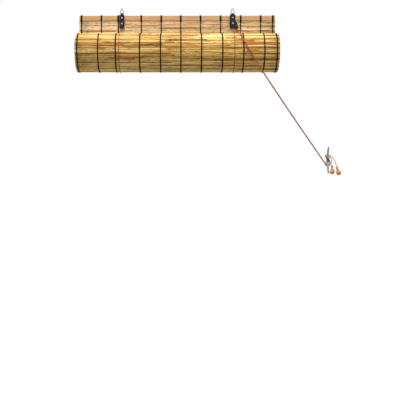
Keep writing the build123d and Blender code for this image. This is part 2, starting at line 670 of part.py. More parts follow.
def build():
    left, right = -BRACKET_X, BRACKET_X
    plate_front = PLATE_THICK / 2 - PLATE_THICK
    single_back = plate_front - SINGLE_SPACE
    double_back = plate_front - DOUBLE_SPACE
    rivet_tail = TAIL_Y + WASHER_THICK
    parts = {
        "head_rail": make_head_rail(),
        "rail_bindings": make_rail_bindings(),
        "mat_drop": make_mat_drop(),
        "mat_roll": make_mat_roll(),
        "drop_threads": make_drop_threads(),
        "roll_threads": make_roll_threads(),
        "pulley_back_plate": make_back_plate(single_outline(), left, False),
        "pulley_front_plate": make_plate(single_outline(), left, single_back, False),
        "pulley_rail_rivet": make_rivet(left, RIVET_Z, rivet_tail, single_back - PLATE_THICK),
        "pulley_axle": make_rivet(left, AXLE_Z, PLATE_THICK / 2, single_back - PLATE_THICK),
        "pulley_spacer": make_spacer(left, SINGLE_SPACE),
        "pulley_sheave": make_sheave(left, BACK_GROOVE),
        "pulley_ring": make_hanging_ring(left),
        "lock_back_plate": make_back_plate(lock_outline(), right, True),
        "lock_front_plate": make_plate(lock_outline(), right, double_back, True),
        "lock_rail_rivet": make_rivet(right, RIVET_Z, rivet_tail, double_back - PLATE_THICK),
        "lock_axle": make_rivet(right, AXLE_Z, PLATE_THICK / 2, double_back - PLATE_THICK),
        "lock_spacer": make_spacer(right, DOUBLE_SPACE),
        "lock_back_sheave": make_sheave(right, BACK_GROOVE),
        "lock_front_sheave": make_sheave(right, FRONT_GROOVE),
        "lock_roller": make_lock_roller(),
        "lock_ring": make_hanging_ring(right),
        "rivet_washers": make_washers(),
        "cord_ties": make_cord_ties(),
        "left_lift_front": make_front_run(-1),
        "left_lift_sling": make_sling(-1),
        "left_lift_rear": make_rear_run(-1),
        "right_lift_front": make_front_run(1),
        "right_lift_sling": make_sling(1),
        "right_lift_rear": make_rear_run(1),
        "crossing_cord": make_crossing_cord(),
        "lock_cord": make_lock_cord(),
        "pull_cord_a": make_pull_cord(
            "pull_cord_a", LAST_TURN_A, EXIT_A, PULL_A, PULL_TOP_A, PULL_LEAN_A
        ),
        "pull_cord_b": make_pull_cord(
            "pull_cord_b", LAST_TURN_B, EXIT_B, PULL_B, PULL_TOP_B, PULL_LEAN_B
        ),
        "pull_a": make_pull(PULL_TOP_A, PULL_LEAN_A),
        "pull_b": make_pull(PULL_TOP_B, PULL_LEAN_B),
        "pull_knots": make_pull_knots(),
        "wall_cleat": make_cleat(),
    }
    os.makedirs("parts", exist_ok=True)
    for name, shape in parts.items():
        solid = Compound(children=shape) if isinstance(shape, list) else shape
        export_step(solid, f"parts/{name}.step")
    return parts


parts = build()
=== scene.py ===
import bpy
import math
import random
from mathutils import Matrix, Vector


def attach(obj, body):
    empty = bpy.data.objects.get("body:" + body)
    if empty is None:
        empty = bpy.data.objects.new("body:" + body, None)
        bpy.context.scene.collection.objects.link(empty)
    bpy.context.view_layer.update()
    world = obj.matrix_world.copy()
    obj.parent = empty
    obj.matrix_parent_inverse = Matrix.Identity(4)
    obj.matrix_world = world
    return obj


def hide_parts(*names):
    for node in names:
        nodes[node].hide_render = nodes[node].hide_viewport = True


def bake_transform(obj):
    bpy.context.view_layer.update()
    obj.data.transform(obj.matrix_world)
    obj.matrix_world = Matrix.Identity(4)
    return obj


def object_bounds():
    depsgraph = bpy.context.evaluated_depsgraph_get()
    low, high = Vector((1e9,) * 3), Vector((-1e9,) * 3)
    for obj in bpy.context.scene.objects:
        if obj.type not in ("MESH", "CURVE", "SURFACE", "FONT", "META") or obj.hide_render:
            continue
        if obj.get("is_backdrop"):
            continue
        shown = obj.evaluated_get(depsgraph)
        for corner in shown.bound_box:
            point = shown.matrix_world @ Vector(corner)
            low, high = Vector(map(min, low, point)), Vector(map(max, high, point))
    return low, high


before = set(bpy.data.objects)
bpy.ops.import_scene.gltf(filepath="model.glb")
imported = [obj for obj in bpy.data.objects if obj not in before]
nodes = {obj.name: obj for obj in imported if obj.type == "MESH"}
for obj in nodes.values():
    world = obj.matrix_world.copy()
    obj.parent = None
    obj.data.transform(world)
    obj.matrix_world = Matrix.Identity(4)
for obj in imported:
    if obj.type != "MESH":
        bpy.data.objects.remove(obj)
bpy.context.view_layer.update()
bpy.ops.object.select_all(action="DESELECT")
chance = random.Random(11)

# Sizes in metres, as in the solids
RAIL_TOP, RAIL_BOTTOM = -0.026, -0.0486
MAT_Y, MAT_TOP, DROP_BOTTOM = 0.0066, -0.0501, -0.1921
BLIND_HALF = 0.4
BRACKET_X = 0.226
ROLL_Y, ROLL_Z = -0.0704, -0.1924
ROLL_MIDDLE = 0.0770
TURN_PITCH = 0.010
STRAW_PITCH = 0.00355
DROP_ROWS, ROLL_ROWS = 40, 400
SLING_Y, SLING_RADIUS = -0.0679, 0.07993
CORD_RADIUS = 0.00125
LIFT_OFFSET = 0.0022
TIE_Y, TIE_END = 0.0141, -0.0517
THREAD_XS = (-0.391, -0.310, -0.2415, -0.147, -0.0655, 0.014, 0.095, 0.177, 0.259, 0.3405, 0.390)

# Camera: in front of the blind, level, a little below its middle
camera = bpy.data.objects.new("camera", bpy.data.cameras.new("camera"))
bpy.context.scene.collection.objects.link(camera)
camera.location = (0.0, -2.9934, -0.8251)
camera.rotation_euler = (math.pi / 2, 0, 0)
# At 3 m the picture is 1.7031 m wide
camera.data.lens = camera.data.sensor_width * 3.0 / 1.7031
camera.data.shift_x = 0.0738
camera.data.shift_y = 0.0072
camera.data.clip_end = 50
bpy.context.scene.camera = camera
bpy.context.scene.view_settings.view_transform = "Standard"


# Small helpers


def linear(hex_colour):
    """An sRGB hex colour as the linear values that a shader socket takes."""
    out = []
    for i in (1, 3, 5):
        c = int(hex_colour[i : i + 2], 16) / 255
        out.append(c / 12.92 if c <= 0.04045 else ((c + 0.055) / 1.055) ** 2.4)
    return (*out, 1.0)


def add(tree, kind, inputs=None, stops=(), **settings):
    """Add a node with its settings and colour stops, and set or link its inputs by name or place."""
    node = tree.nodes.new(kind)
    for name, value in settings.items():
        setattr(node, name, value)
    for name, value in (inputs or {}).items():
        if isinstance(value, bpy.types.NodeSocket):
            tree.links.new(value, node.inputs[name])
        else:
            node.inputs[name].default_value = value
    if stops:
        elements = node.color_ramp.elements
        while len(elements) < len(stops):
            elements.new(0.5)
        for element, (place, colour) in zip(elements, stops):
            element.position = place
            element.color = linear(colour)
    return node


def new_material(name):
    """An empty material and its node tree."""
    material = bpy.data.materials.new(name)
    material.use_nodes = True
    material.node_tree.nodes.clear()
    return material, material.node_tree


def paint(piece, *materials):
    """Give a piece or a carried-over solid its finish."""
    piece.data.materials.clear()
    for material in materials:
        piece.data.materials.append(material)


def settle(piece, name):
    """Name a piece and put its place into its mesh, so that its object lies at the origin."""
    bpy.context.view_layer.update()
    piece.data.transform(piece.matrix_world)
    piece.matrix_world = Matrix.Identity(4)
    piece.name = name
    piece.data.name = name
    return piece


def join(pieces, name):
    """Make one piece of several."""
    bpy.ops.object.select_all(action="DESELECT")
    for piece in pieces:
        piece.select_set(True)
    bpy.context.view_layer.objects.active = pieces[0]
    bpy.ops.object.join()
    joined = settle(pieces[0], name)
    bpy.ops.object.select_all(action="DESELECT")
    return joined


def copy_of(piece, name, matrix):
    """A copy with its own mesh, moved there by the matrix."""
    mesh = piece.data.copy()
    mesh.transform(matrix)
    copy = bpy.data.objects.new(name, mesh)
    bpy.context.scene.collection.objects.link(copy)
    return copy


def smooth(piece, degrees):
    """Shade a piece smooth, but for its edges sharper than so many degrees."""
    bpy.ops.object.select_all(action="DESELECT")
    piece.select_set(True)
    bpy.context.view_layer.objects.active = piece
    bpy.ops.object.shade_smooth_by_angle(angle=math.radians(degrees))
    bpy.ops.object.select_all(action="DESELECT")


def wire(name, points, radius, sides=2, cyclic=False, kind="NURBS"):
    """A round cord along given points."""
    data = bpy.data.curves.new(name, "CURVE")
    data.dimensions = "3D"
    spline = data.splines.new(kind)
    spline.points.add(len(points) - 1)
    for place, point in zip(spline.points, points):
        place.co = (*point, 1.0)
    if kind == "NURBS":
        spline.order_u = 3
        spline.use_endpoint_u = not cyclic
        spline.resolution_u = 6
    spline.use_cyclic_u = cyclic
    spline.use_smooth = True
    data.bevel_depth = radius
    data.bevel_resolution = sides
    data.use_fill_caps = True
    piece = bpy.data.objects.new(name, data)
    bpy.context.scene.collection.objects.link(piece)
    return piece


def as_mesh(piece):
    """Turn a curve into a mesh."""
    bpy.ops.object.select_all(action="DESELECT")
    piece.select_set(True)
    bpy.context.view_layer.objects.active = piece
    bpy.ops.object.convert(target="MESH")
    piece = bpy.context.view_layer.objects.active
    bpy.ops.object.select_all(action="DESELECT")
    return piece


def mm(*points):
    """Points in millimetres as points in metres."""
    return [tuple(v / 1000 for v in point) for point in points]


# Finishes


# Where the five tones of reed lie, from the darkest straw to the palest
REED_STEPS = (0.0, 0.16, 0.42, 0.68, 1.0)


def reed_finish(name, tones):
    """A waxy skin that differs from straw to straw, with darker marks along it and fine fibres."""
    material, tree = new_material(name)
    place = add(tree, "ShaderNodeTexCoord").outputs["Object"]
    tone = add(tree, "ShaderNodeAttribute", attribute_name="tone").outputs["Fac"]
    # Marks are about 80 mm long and as wide as a straw
    along = add(tree, "ShaderNodeMapping", {"Vector": place, "Scale": (12, 260, 260)})
    marks = add(tree, "ShaderNodeTexNoise", {"Vector": along.outputs[0], "Scale": 1.0, "Detail": 2.5,
                                             "Roughness": 0.62})
    spread = add(tree, "ShaderNodeMapRange", {0: marks.outputs[0], 1: 0.32, 2: 0.68, 3: -0.3, 4: 0.3})
    both = add(tree, "ShaderNodeMath", {0: tone, 1: spread.outputs[0]}, operation="ADD")
    skin = add(tree, "ShaderNodeValToRGB", {0: both.outputs[0]}, stops=list(zip(REED_STEPS, tones)))
    # A stem has a brown joint every 300 mm or so, 18 mm long with the sheath's scar
    parts = add(tree, "ShaderNodeSeparateXYZ", {0: place})
    seed = add(tree, "ShaderNodeMath", {0: tone, 1: 37.0}, operation="MULTIPLY")
    stem = add(tree, "ShaderNodeMath", {0: parts.outputs[0], 1: 3.3, 2: seed.outputs[0]},
               operation="MULTIPLY_ADD")
    joint = add(tree, "ShaderNodeMath", {0: stem.outputs[0]}, operation="FRACT")
    scar = add(tree, "ShaderNodeMapRange", {0: joint.outputs[0], 1: 0.0, 2: 0.06, 3: 0.55, 4: 1.0})
    scarred = add(tree, "ShaderNodeMix", {"Factor": 1.0, 6: skin.outputs[0], 7: scar.outputs[0]},
                  data_type="RGBA", blend_type="MULTIPLY")
    # Sheath marks: brown dashes about 20 mm long, on one straw each
    short = add(tree, "ShaderNodeMapping", {"Vector": place, "Scale": (50, 280, 280)})
    flecks = add(tree, "ShaderNodeTexNoise", {"Vector": short.outputs[0], "Scale": 1.0, "Detail": 1.0})
    dash = add(tree, "ShaderNodeMapRange", {0: flecks.outputs[0], 1: 0.6, 2: 0.68, 3: 1.0, 4: 0.5})
    dashed = add(tree, "ShaderNodeMix", {"Factor": 1.0, 6: scarred.outputs[2], 7: dash.outputs[0]},
                 data_type="RGBA", blend_type="MULTIPLY")
    # Fibres are drawn 0.5 mm wide, several times too coarse, so that they show
    fine = add(tree, "ShaderNodeMapping", {"Vector": place, "Scale": (60, 1900, 1900)})
    fibre = add(tree, "ShaderNodeTexNoise", {"Vector": fine.outputs[0], "Scale": 1.0, "Detail": 1.0})
    shade = add(tree, "ShaderNodeMix", {"Factor": 0.2, 6: dashed.outputs[2], 7: fibre.outputs["Color"]},
                data_type="RGBA", blend_type="SOFT_LIGHT")
    rough = add(tree, "ShaderNodeMapRange", {0: fibre.outputs[0], 1: 0.3, 2: 0.7, 3: 0.4, 4: 0.62})
    bump = add(tree, "ShaderNodeBump", {"Strength": 0.35, "Distance": 0.0002, "Height": fibre.outputs[0]})
    surface = add(tree, "ShaderNodeBsdfPrincipled", {
        "Base Color": shade.outputs[2], "Roughness": rough.outputs[0], "IOR": 1.45,
        "Normal": bump.outputs[0]})
    add(tree, "ShaderNodeOutputMaterial", {"Surface": surface.outputs[0]})
    return material


def flat_reed_finish(name, tones):
    """Rows of straws drawn by the pattern itself, with painted shade between the rows, for the stretch that
    grows as the roll goes down.
    """
    material, tree = new_material(name)
    place = add(tree, "ShaderNodeTexCoord").outputs["Object"]
    parts = add(tree, "ShaderNodeSeparateXYZ", {0: place})
    row = add(tree, "ShaderNodeMath", {0: parts.outputs[2], 1: STRAW_PITCH}, operation="DIVIDE")
    whole = add(tree, "ShaderNodeMath", {0: row.outputs[0]}, operation="FLOOR")
    part = add(tree, "ShaderNodeMath", {0: row.outputs[0]}, operation="FRACT")
    start = add(tree, "ShaderNodeTexWhiteNoise", {"W": whole.outputs[0]}, noise_dimensions="1D")
    # Straws are about 260 mm long and start anywhere in their row
    shift = add(tree, "ShaderNodeMath", {0: parts.outputs[0], 1: 3.8, 2: start.outputs[0]},
                operation="MULTIPLY_ADD")
    cell = add(tree, "ShaderNodeMath", {0: shift.outputs[0]}, operation="FLOOR")
    key = add(tree, "ShaderNodeCombineXYZ", {0: cell.outputs[0], 1: whole.outputs[0]})
    tone = add(tree, "ShaderNodeTexWhiteNoise", {"Vector": key.outputs[0]}, noise_dimensions="2D")
    # Marks are about 60 mm long and stay in their row
    across = add(tree, "ShaderNodeCombineXYZ", {0: parts.outputs[0], 1: whole.outputs[0]})
    along = add(tree, "ShaderNodeMapping", {"Vector": across.outputs[0], "Scale": (16, 3.7, 1)})
    marks = add(tree, "ShaderNodeTexNoise", {"Vector": along.outputs[0], "Scale": 1.0, "Detail": 2.5,
                                             "Roughness": 0.62})
    spread = add(tree, "ShaderNodeMapRange", {0: marks.outputs[0], 1: 0.3, 2: 0.7, 3: -0.33, 4: 0.33})
    both = add(tree, "ShaderNodeMath", {0: tone.outputs[0], 1: spread.outputs[0]}, operation="ADD")
    skin = add(tree, "ShaderNodeValToRGB", {0: both.outputs[0]}, stops=list(zip(REED_STEPS, tones)))
    # A round straw in each row, with painted shade that darkens the valley beside it
    centred = add(tree, "ShaderNodeMath", {0: part.outputs[0], 1: math.pi}, operation="MULTIPLY")
    rounding = add(tree, "ShaderNodeMath", {0: centred.outputs[0]}, operation="SINE")
    painted_valley_shade = add(tree, "ShaderNodeMapRange", {0: rounding.outputs[0], 1: 0.0, 2: 0.45, 3: 0.45, 4: 1.0})
    shade = add(tree, "ShaderNodeMix", {"Factor": 1.0, 6: skin.outputs[0], 7: painted_valley_shade.outputs[0]},
                data_type="RGBA", blend_type="MULTIPLY")
    bump = add(tree, "ShaderNodeBump", {"Strength": 0.9, "Distance": 0.0012, "Height": rounding.outputs[0]})
    surface = add(tree, "ShaderNodeBsdfPrincipled", {
        "Base Color": shade.outputs[2], "Roughness": 0.5, "IOR": 1.45, "Normal": bump.outputs[0]})
    add(tree, "ShaderNodeOutputMaterial", {"Surface": surface.outputs[0]})
    return material


def wood_finish(name, early, late, grain, roughness, turn=(0, 0, 0)):
    """Smooth wood with long grain lines about 3 mm wide, which run along the least grain value."""
    material, tree = new_material(name)
    place = add(tree, "ShaderNodeTexCoord").outputs["Object"]
    along = add(tree, "ShaderNodeMapping", {"Vector": place, "Rotation": turn, "Scale": grain})
    rings = add(tree, "ShaderNodeTexNoise", {"Vector": along.outputs[0], "Scale": 1.0, "Detail": 4.0,
                                             "Roughness": 0.6, "Distortion": 0.4})
    colour = add(tree, "ShaderNodeValToRGB", {0: rings.outputs[0]},
                 stops=[(0.3, late), (0.52, early), (0.72, late)])
    bump = add(tree, "ShaderNodeBump", {"Strength": 0.2, "Distance": 0.0002, "Height": rings.outputs[0]})
    surface = add(tree, "ShaderNodeBsdfPrincipled", {
        "Base Color": colour.outputs[0], "Roughness": roughness, "IOR": 1.5, "Normal": bump.outputs[0],
        "Coat Weight": 0.15, "Coat Roughness": 0.3})
    add(tree, "ShaderNodeOutputMaterial", {"Surface": surface.outputs[0]})
    return material


def twisted_finish(name, light, dark, lay, sheen, gloss):
    """Strands that run slantwise round a cord or thread, 0.65 mm wide at a lay of 560, with painted shade in
    the grooves between them.
    """
    material, tree = new_material(name)
    place = add(tree, "ShaderNodeTexCoord").outputs["Object"]
    lean = add(tree, "ShaderNodeMapping", {"Vector": place, "Rotation": (0.6, 0.5, 0.7),
                                           "Scale": (lay, lay, lay)})
    strands = add(tree, "ShaderNodeTexWave", {"Vector": lean.outputs[0], "Scale": 1.0, "Distortion": 0.6},
                  bands_direction="DIAGONAL")
    # Painted shade: the colour darkens from the strands' crowns into the grooves between them
    colour = add(tree, "ShaderNodeValToRGB", {0: strands.outputs["Fac"]},
                 stops=[(0.15, dark), (0.7, light)])
    bump = add(tree, "ShaderNodeBump", {"Strength": 0.5, "Distance": 0.0003,
                                        "Height": strands.outputs["Fac"]})
    surface = add(tree, "ShaderNodeBsdfPrincipled", {
        "Base Color": colour.outputs[0], "Roughness": 0.75, "Normal": bump.outputs[0],
        "Sheen Weight": sheen, "Sheen Roughness": 0.5, "Specular IOR Level": gloss})
    add(tree, "ShaderNodeOutputMaterial", {"Surface": surface.outputs[0]})
    return material


def metal_finish(name, colour, worn, metallic, roughness, grit, gloss=0.5):
    """An even surface with a slight change of tone and gloss, in patches of 2 mm at a grit of 500. They
    are drawn far coarser than the real grit, so that they show."""
    material, tree = new_material(name)
    place = add(tree, "ShaderNodeTexCoord").outputs["Object"]
    uneven = add(tree, "ShaderNodeTexNoise", {"Vector": place, "Scale": grit, "Detail": 3.0})
    tint = add(tree, "ShaderNodeValToRGB", {0: uneven.outputs[0]}, stops=[(0.35, colour), (0.75, worn)])
    rough = add(tree, "ShaderNodeMapRange", {0: uneven.outputs[0], 1: 0.3, 2: 0.7,
                                             3: roughness - 0.06, 4: roughness + 0.08})
    bump = add(tree, "ShaderNodeBump", {"Strength": 0.15, "Distance": 0.0002, "Height": uneven.outputs[0]})
    surface = add(tree, "ShaderNodeBsdfPrincipled", {
        "Base Color": tint.outputs[0], "Metallic": metallic, "Roughness": rough.outputs[0],
        "Normal": bump.outputs[0], "Specular IOR Level": gloss})
    add(tree, "ShaderNodeOutputMaterial", {"Surface": surface.outputs[0]})
    return material


# Each finish: what the real one is and how its surface was made, then what that gives the eye

# Common reed, peeled, split and dried without varnish: matt pale straw, each straw its own tone
PALE_REED = ("#AA7036", "#D39C56", "#ECC184", "#F6DBA4", "#FDF0CA")
hanging_reed = reed_finish("dried_reed_pale", PALE_REED)
# The same peeled reed on the stretch that unrolls: its rows stay as wide however far it hangs
lowered_reed = flat_reed_finish("dried_reed_rows", PALE_REED)
# The same reed seen from its skin side, still waxy: deeper gold, with a soft gleam and brown marks
GOLDEN_REED = ("#6E4016", "#BA7628", "#E5AB4E", "#F5CF6C", "#FFF0A8")
rolled_reed = reed_finish("dried_reed_golden", GOLDEN_REED)
# Reed cut across with shears: a browner disc in each cut end, painted shade for the reed's hollow, so the
# mat's edges are duller and browner
painted_hollow_shade = metal_finish("reed_cut_end", "#8F6A34", "#C9A566", 0.0, 0.8, 900)
# Poplar planed and sealed once: a smooth light-brown strip with faint long grain
lath_wood = wood_finish("planed_poplar_lath", "#C99A61", "#A17140", (7, 300, 300), 0.5)
# Beech turned on a lathe and dipped in varnish: warm orange, with one soft light on each belly.
# The grain runs along each pull, which leans by its own angle.
LEAN_A, LEAN_B = math.radians(18), math.radians(3)
pull_wood_a = wood_finish("turned_beech_slanted", "#D9984F", "#B8742F", (330, 330, 36), 0.34,
                          (0, LEAN_A, 0))
pull_wood_b = wood_finish("turned_beech_upright", "#D9984F", "#B8742F", (330, 330, 36), 0.34,
                          (0, LEAN_B, 0))
# Cotton yarn, dyed black and twisted: it takes no shine, so each warp is a plain black line
warp_thread = twisted_finish("black_cotton_thread", "#0D0B0B", "#050404", 700, 0.0, 0.2)
# Polyester twine, dyed rust-red and laid from three strands: slanting strands with a faint sheen, and
# painted shade in the grooves between them
lift_cord = twisted_finish("laid_polyester_cord", "#BE5720", "#78300F", 560, 0.08, 0.5)
# Sheet steel, pressed and stove-painted black: nearly black, with an even dull gleam
black_steel = metal_finish("black_painted_steel", "#07080A", "#101215", 0.0, 0.52, 500, 0.22)
# Steel rivets, cold-headed and zinc-plated: small bright domes on the black cheeks
bright_zinc = metal_finish("bright_zinc_plate", "#9EA2A8", "#8A8E94", 1.0, 0.3, 700)
# Steel wire, drawn and bent: it mirrors the room as thin dark and white lines
spring_wire = metal_finish("bright_steel_wire", "#45484B", "#2C2E30", 1.0, 0.26, 900)
# Nylon sheaves from a polished mould: cream, slightly waxy
nylon = metal_finish("moulded_nylon", "#DCD6C8", "#CFC8B8", 0.0, 0.45, 300)
# Steel bar, turned and rolled with teeth: grey with a broken gleam
knurled_steel = metal_finish("knurled_steel", "#6A6C70", "#55575B", 1.0, 0.36, 600)
# Zinc, die-cast and tumbled: a soft grey shine along the horns' curves
cast_metal = metal_finish("cast_zinc_cleat", "#8B8D8F", "#6C6E71", 1.0, 0.38, 260)

# The solids that need no more shape
KEPT_SOLIDS = (
    (black_steel, ("pulley_back_plate", "pulley_front_plate", "lock_back_plate", "lock_front_plate")),
    (bright_zinc, ("pulley_rail_rivet", "pulley_axle", "lock_rail_rivet", "lock_axle", "rivet_washers",
                   "pulley_spacer", "lock_spacer")),
    (spring_wire, ("pulley_ring", "lock_ring")),
    (nylon, ("pulley_sheave", "lock_back_sheave", "lock_front_sheave")),
    (knurled_steel, ("lock_roller",)),
    (cast_metal, ("wall_cleat",)),
    (lath_wood, ("head_rail",)),
    (pull_wood_a, ("pull_a",)),
    (pull_wood_b, ("pull_b",)),
)
for material, names in KEPT_SOLIDS:
    for name in names:
        paint(nodes[name], material)


# Pull cords, from the lock round the cleat to their wooden pulls


PULL_A = mm(
    (239.4, -3.85, -81), (242.6, -3.85, -89.41), (243.2, -12.5, -97), (248.6, -106, -118),
    (251.3, -138, -141), (271.4, -152.5, -183), (297.9, -151.5, -230), (417.9, -150, -412),
    (605.8, 12, -627.2), (612.8, 17.6, -634.3), (620.6, 17.6, -634.5), (626.2, 12.2, -628.8),
    (620.9, 6.2, -618.6), (612.3, 6.2, -609.6), (606.8, 12, -603.9), (612.6, 17.6, -601.5),
    (620.4, 17.6, -601.7), (626.6, 12.2, -605.8), (621.2, 2.4, -612.6), (612.2, 2.4, -620.6),
    (602.4, 9, -633.8), (612.4, 17.6, -641.4), (621, 17.6, -641.6), (629.4, 10, -633.8),
    (621.6, -0.6, -619.4), (611.6, -0.6, -607.6), (603.2, 9, -598.2), (612.2, 17.6, -594.4),
    (620.8, 17.6, -594.2), (629.4, 11.5, -597.4), (635, 6.5, -604.8), (640.8, 5.5, -613.5),
    (646, 6, -623), (650.1, 7.2, -633.6), (653, 8, -644.5), (661.87, 8, -671.8),
)
PULL_B = mm(
    (236.3, -10.1, -81), (238.34, -10.1, -89.77), (239, -18.5, -97), (245.2, -106, -118),
    (247.9, -138, -141), (268, -152.5, -183), (294.5, -151.5, -230), (414.5, -150, -412),
    (604, 10.8, -630.6), (612.8, 17.6, -637.8), (621.5, 17.6, -638), (629.6, 12.4, -630.2),
    (623.6, 6.8, -616.2), (612.6, 5, -604.6), (605.4, 10.6, -600.8), (612.8, 17.6, -598),
    (620.8, 17.6, -598), (628.6, 14, -602.6), (632, 11.6, -612), (633.1, 9.4, -624),
    (633.4, 8.4, -639.2), (634.9, 8.4, -667.86),
)
# How far below its pull's top each knot sits, and its size
KNOT_DEPTH = 0.03204
KNOT_REACH, KNOT_RISE, KNOT_RADIUS = 0.00085, 0.0011, 0.0009

for name, points in (("pull_cord_a", PULL_A), ("pull_cord_b", PULL_B)):
    cord = wire("cord_" + name[-6:], points, CORD_RADIUS, sides=3)
    paint(cord, lift_cord)
    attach(cord, "frame")
    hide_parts(name)


def overhand_knot(name, pull_top, lean):
    """The cord's end tied in a tight overhand knot, in the recess under its pull."""
    loop = []
    for i in range(12):
        t = 2 * math.pi * i / 12
        loop.append((KNOT_REACH * (math.sin(t) + 2 * math.sin(2 * t)),
                     KNOT_REACH * (math.cos(t) - 2 * math.cos(2 * t)), -KNOT_RISE * math.sin(3 * t)))
    knot = as_mesh(wire(name, loop, KNOT_RADIUS, sides=2, cyclic=True))
    x, y, z = pull_top
    middle = Vector((x + KNOT_DEPTH * math.sin(lean), y, z - KNOT_DEPTH * math.cos(lean)))
    knot.data.transform(Matrix.Translation(middle) @ Matrix.Rotation(-lean, 4, "Y"))
    settle(knot, name)
    paint(knot, lift_cord)
    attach(knot, "frame")
    return knot


# The last point but one of each cord is the top of its pull
knot_a = overhand_knot("knot_a", PULL_A[-2], LEAN_A)
knot_b = overhand_knot("knot_b", PULL_B[-2], LEAN_B)
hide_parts("pull_knots")


# Lifting cords


# Over the left sheave and across to the lock, and over the lock's front sheave
CROSSING = mm(
    (-231.85, -3.85, -81.5), (-231.85, -3.85, -70), (-231.85, -3.85, -59.9), (-228.4, -3.85, -56.3),
    (-223.6, -3.85, -56.3), (-219.9, -3.85, -59), (-214, -3.85, -63), (-200, -3.85, -64.8),
    (-172, -3.85, -66.6), (-125, -3.85, -67.9), (-70, -3.85, -67.2), (-12, -3.85, -65.6),
    (48, -3.85, -64.9), (105, -3.85, -65.4), (160, -3.85, -64.3), (190, -3.85, -62.6),
    (207, -3.85, -61.4), (216, -3.85, -60.3), (221.4, -3.85, -57.2), (226, -3.85, -56.3),
    (230.2, -3.85, -57.2), (232.6, -3.85, -63), (239.4, -3.85, -81),
)
LOCK_CORD = mm(
    (228, -10.1, -81.5), (224, -10.1, -71), (220.1, -10.1, -63.6), (220.1, -10.1, -59.6),
    (223.6, -10.1, -56.3), (228.4, -10.1, -56.3), (231.6, -10.1, -60.5), (236.3, -10.1, -81),
)


def tangent_point(top):
    """Where a straight cord meets the turn of cord round the roll's front."""
    dy, dz = top[1] - SLING_Y, top[2] - ROLL_Z
    angle = math.atan2(dz, dy) + math.acos(SLING_RADIUS / math.hypot(dy, dz))
    return SLING_Y + SLING_RADIUS * math.cos(angle), ROLL_Z + SLING_RADIUS * math.sin(angle), angle


def straight_cord(name, top, bottom):
    """A straight cord with a ring of points at each end only, so that it stretches evenly."""
    line = Vector(bottom) - Vector(top)
    bpy.ops.mesh.primitive_cylinder_add(vertices=10, radius=CORD_RADIUS, depth=line.length,
                                        location=(Vector(top) + Vector(bottom)) / 2,
                                        rotation=line.to_track_quat("Z", "Y").to_euler())
    tube = settle(bpy.context.object, name)
    bpy.ops.object.select_all(action="DESELECT")
    return tube


def stretch_with_roll(piece):
    """Put the piece's place into its mesh, so that its object lies at the origin."""
    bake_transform(piece)


# The part of each front run that the cord over the sheave covers
RUN_START = 0.12
SLING_POINTS = 25

for side, route, bracket_x in (("left", CROSSING, -BRACKET_X), ("right", LOCK_CORD, BRACKET_X)):
    x = bracket_x - LIFT_OFFSET
    leaves = Vector(route[0])
    y, z, angle = tangent_point(leaves)
    foot = Vector((x, y, z))
    top = leaves + (foot - leaves) * RUN_START
    over = wire(side + "_cord_over_sheave", [top, *route], CORD_RADIUS, sides=2)
    paint(over, lift_cord)
    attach(over, "frame")
    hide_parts("crossing_cord" if side == "left" else "lock_cord")

    front = straight_cord(side + "_cord_front", top, foot)
    stretch_with_roll(front)
    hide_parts(side + "_lift_front")

    # From the mat's back, under the roll and up its front
    turn = []
    for i in range(SLING_POINTS):
        a = -i * (2 * math.pi - angle) / (SLING_POINTS - 1)
        turn.append((x, SLING_Y + SLING_RADIUS * math.cos(a), ROLL_Z + SLING_RADIUS * math.sin(a)))
    sling = as_mesh(wire(side + "_cord_under_roll", turn, CORD_RADIUS, sides=2, kind="POLY"))
    settle(sling, side + "_cord_under_roll")
    smooth(sling, 60)
    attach(sling, "roll")
    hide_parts(side + "_lift_sling")

    rear_top = (x, TIE_Y, TIE_END)
    rear_foot = (x, SLING_Y + SLING_RADIUS, ROLL_Z)
    rear = straight_cord(side + "_cord_rear", rear_top, rear_foot)
    stretch_with_roll(rear)
    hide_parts(side + "_lift_rear")
    for piece in (front, sling, rear):
        smooth(piece, 60)
        paint(piece, lift_cord)


def cord_tie(x):
    """The cord's end goes round the rivet's tail and is tied off below it with three turns."""
    tail_x = x - LIFT_OFFSET
    # Steps sideways from the rivet or the tail, and heights, in millimetres
    loop = mm((tail_x * 1000, 14.1, -51.9), (tail_x * 1000, 14.1, -46.5), (x * 1000 - 3.6, 14.1, -42.6),
              (x * 1000 - 3.8, 14.1, -36.6), (x * 1000, 14.1, -34.5), (x * 1000 + 3.8, 14.1, -36.6),
              (x * 1000 + 3.4, 14.1, -42.2), (tail_x * 1000 + 1.6, 14.4, -45.6))
    pieces = [as_mesh(wire("tie", loop, CORD_RADIUS, sides=2))]
    for z in (-0.0455, -0.0470, -0.0485):
        bpy.ops.mesh.primitive_torus_add(major_radius=0.0017, minor_radius=0.0008, major_segments=16,
                                         minor_segments=8, location=(tail_x, TIE_Y, z),
                                         rotation=(0.12, 0, 0))
        pieces.append(settle(bpy.context.object, "turn"))
    return pieces


ties = join(cord_tie(-BRACKET_X) + cord_tie(BRACKET_X), "cord_ties_tied")
paint(ties, lift_cord)
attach(ties, "frame")
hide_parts("cord_ties")


# Reeds


